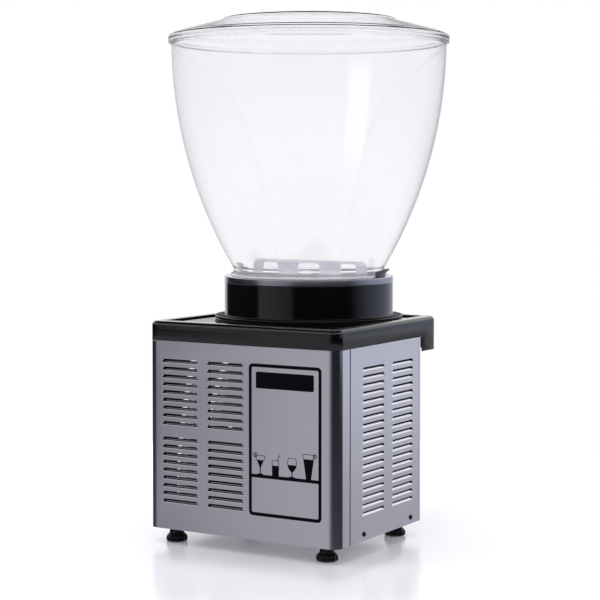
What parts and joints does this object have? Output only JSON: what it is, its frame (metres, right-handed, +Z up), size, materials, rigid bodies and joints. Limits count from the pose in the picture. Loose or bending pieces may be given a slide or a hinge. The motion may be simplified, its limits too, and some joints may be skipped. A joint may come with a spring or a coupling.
{
  "type": "cold drink dispenser",
  "caption": "Chilled drink dispenser: clear flared bowl with lid on a black drum, stirred by a paddle, over a louvred steel cabinet with tap and drip tray.",
  "frame": {"origin": "on the floor under the bowl's axis", "axes": "+Z up; the tap and drip tray face -Y, the printed rear panel faces +Y"},
  "size_m": [0.53, 0.53, 0.966],
  "materials": {
    "cabinet_steel": "brushed satin",
    "frame_steel": "plain zinc",
    "polished_steel": "bright polished",
    "black_gloss": "gloss moulded",
    "black_matte": "fine matte",
    "clip_grey": "matte",
    "clear_plastic": "clear gloss",
    "paddle_grey": "satin",
    "white_plastic": "satin",
    "seal_rubber": "matte",
    "dark_rubber": "matte",
    "copper_pipe": "drawn tube",
    "fin_aluminium": "plain",
    "black_paint": "gloss paint",
    "motor_metal": "satin paint",
    "foam": "foam",
    "rocker_red": "gloss"
  },
  "bodies": {
    "cabinet": {"base_pan": "frame_steel", "rear_panel": "cabinet_steel", "front_panel": "cabinet_steel", "left_side_panel": "cabinet_steel", "right_side_panel": "cabinet_steel", "post_rear_left": "black_paint", "post_rear_right": "black_paint", "post_front_left": "black_paint", "post_front_right": "black_paint", "top_deck": "frame_steel", "screw_left_rear": "black_matte", "screw_left_front": "black_matte", "screw_right_rear": "black_matte", "screw_right_front": "black_matte", "top_tray": "black_gloss", "drum": "black_gloss", "insulation": "foam", "evaporator_coil": "copper_pipe", "evaporator_dish": "polished_steel", "bowl_gasket": "seal_rubber", "clip_left": "clip_grey", "clip_right": "clip_grey", "stirrer_motor": "motor_metal", "shaft_bush": "white_plastic", "outlet_tube": "polished_steel", "tap_seal": "dark_rubber", "tap_body": "black_gloss", "tap_nut": "white_plastic", "tap_pin": "polished_steel", "drip_rails": "polished_steel", "compressor": "black_paint", "compressor_grommets": "dark_rubber", "compressor_cover": "black_matte", "condenser_fins": "fin_aluminium", "condenser_tubes": "copper_pipe", "fan_shroud": "black_matte", "fan_motor": "motor_metal", "discharge_pipe": "copper_pipe", "suction_pipe": "copper_pipe", "filter_drier": "copper_pipe", "switch_housing_left": "black_matte", "switch_housing_right": "black_matte", "thermostat": "motor_metal", "cable_gland": "black_matte"},
    "bowl": {"bowl": "clear_plastic"},
    "lid": {"lid": "clear_plastic"},
    "mixer": {"mixer_shaft": "polished_steel", "mixer_paddle": "paddle_grey"},
    "fan": {"fan_blade": "white_plastic"},
    "tap_lever": {"tap_lever": "black_gloss"},
    "tap_plunger": {"tap_plunger": "white_plastic"},
    "drip_tray": {"drip_tray": "black_gloss"},
    "drip_grid": {"drip_grid": "polished_steel"},
    "rocker_left": {"rocker_left": "rocker_red"},
    "rocker_right": {"rocker_right": "rocker_red"},
    "thermostat_knob": {"thermostat_knob": "black_gloss"},
    "foot_rear_left": {"foot_rear_left": "black_matte"},
    "foot_rear_right": {"foot_rear_right": "black_matte"},
    "foot_front_left": {"foot_front_left": "black_matte"},
    "foot_front_right": {"foot_front_right": "black_matte"}
  },
  "joints": [
    {"name": "bowl_lift", "type": "slide", "parent": "cabinet", "child": "bowl", "axis": [0, 0, 1], "range_m": [0, 0.12]},
    {"name": "lid_lift", "type": "slide", "parent": "bowl", "child": "lid", "axis": [0, 0, 1], "range_m": [0, 0.3]},
    {"name": "mixer_spin", "type": "hinge", "parent": "cabinet", "child": "mixer", "pos_m": [0, 0, 0.441], "axis": [0, 0, 1], "continuous": true},
    {"name": "fan_spin", "type": "hinge", "parent": "cabinet", "child": "fan", "pos_m": [-0.1258, 0.065, 0.125], "axis": [1, 0, 0], "continuous": true},
    {"name": "tap_lever_pull", "type": "hinge", "parent": "cabinet", "child": "tap_lever", "pos_m": [0, -0.233, 0.465], "axis": [1, 0, 0], "range_deg": [0, 25], "stiffness_Nm_per_rad": 0.4, "springref_deg": -17.19},
    {"name": "tap_plunger_lift", "type": "slide", "parent": "cabinet", "child": "tap_plunger", "axis": [0, 0, 1], "range_m": [0, 0.0095]},
    {"name": "drip_tray_slide", "type": "slide", "parent": "cabinet", "child": "drip_tray", "axis": [0, -1, 0], "range_m": [0, 0.12]},
    {"name": "drip_grid_lift", "type": "slide", "parent": "drip_tray", "child": "drip_grid", "axis": [0, 0, 1], "range_m": [0, 0.06]},
    {"name": "rocker_left_tilt", "type": "hinge", "parent": "cabinet", "child": "rocker_left", "pos_m": [-0.042, -0.073, 0.278], "axis": [1, 0, 0], "range_deg": [0, 16]},
    {"name": "rocker_right_tilt", "type": "hinge", "parent": "cabinet", "child": "rocker_right", "pos_m": [0.042, -0.073, 0.278], "axis": [1, 0, 0], "range_deg": [0, 16]},
    {"name": "thermostat_turn", "type": "hinge", "parent": "cabinet", "child": "thermostat_knob", "pos_m": [0, -0.075, 0.278], "axis": [0, -1, 0], "range_deg": [0, 270]},
    {"name": "foot_rear_left_turn", "type": "hinge", "parent": "cabinet", "child": "foot_rear_left", "pos_m": [-0.16, 0.205, 0.014], "axis": [0, 0, 1], "continuous": true},
    {"name": "foot_rear_right_turn", "type": "hinge", "parent": "cabinet", "child": "foot_rear_right", "pos_m": [0.16, 0.205, 0.014], "axis": [0, 0, 1], "continuous": true},
    {"name": "foot_front_left_turn", "type": "hinge", "parent": "cabinet", "child": "foot_front_left", "pos_m": [-0.16, -0.046, 0.014], "axis": [0, 0, 1], "continuous": true},
    {"name": "foot_front_right_turn", "type": "hinge", "parent": "cabinet", "child": "foot_front_right", "pos_m": [0.16, -0.046, 0.014], "axis": [0, 0, 1], "continuous": true}
  ],
  "couplings": [
    {"joint": "tap_lever_pull", "follows": "tap_plunger_lift", "rad_per_m": 45.45}
  ]
}
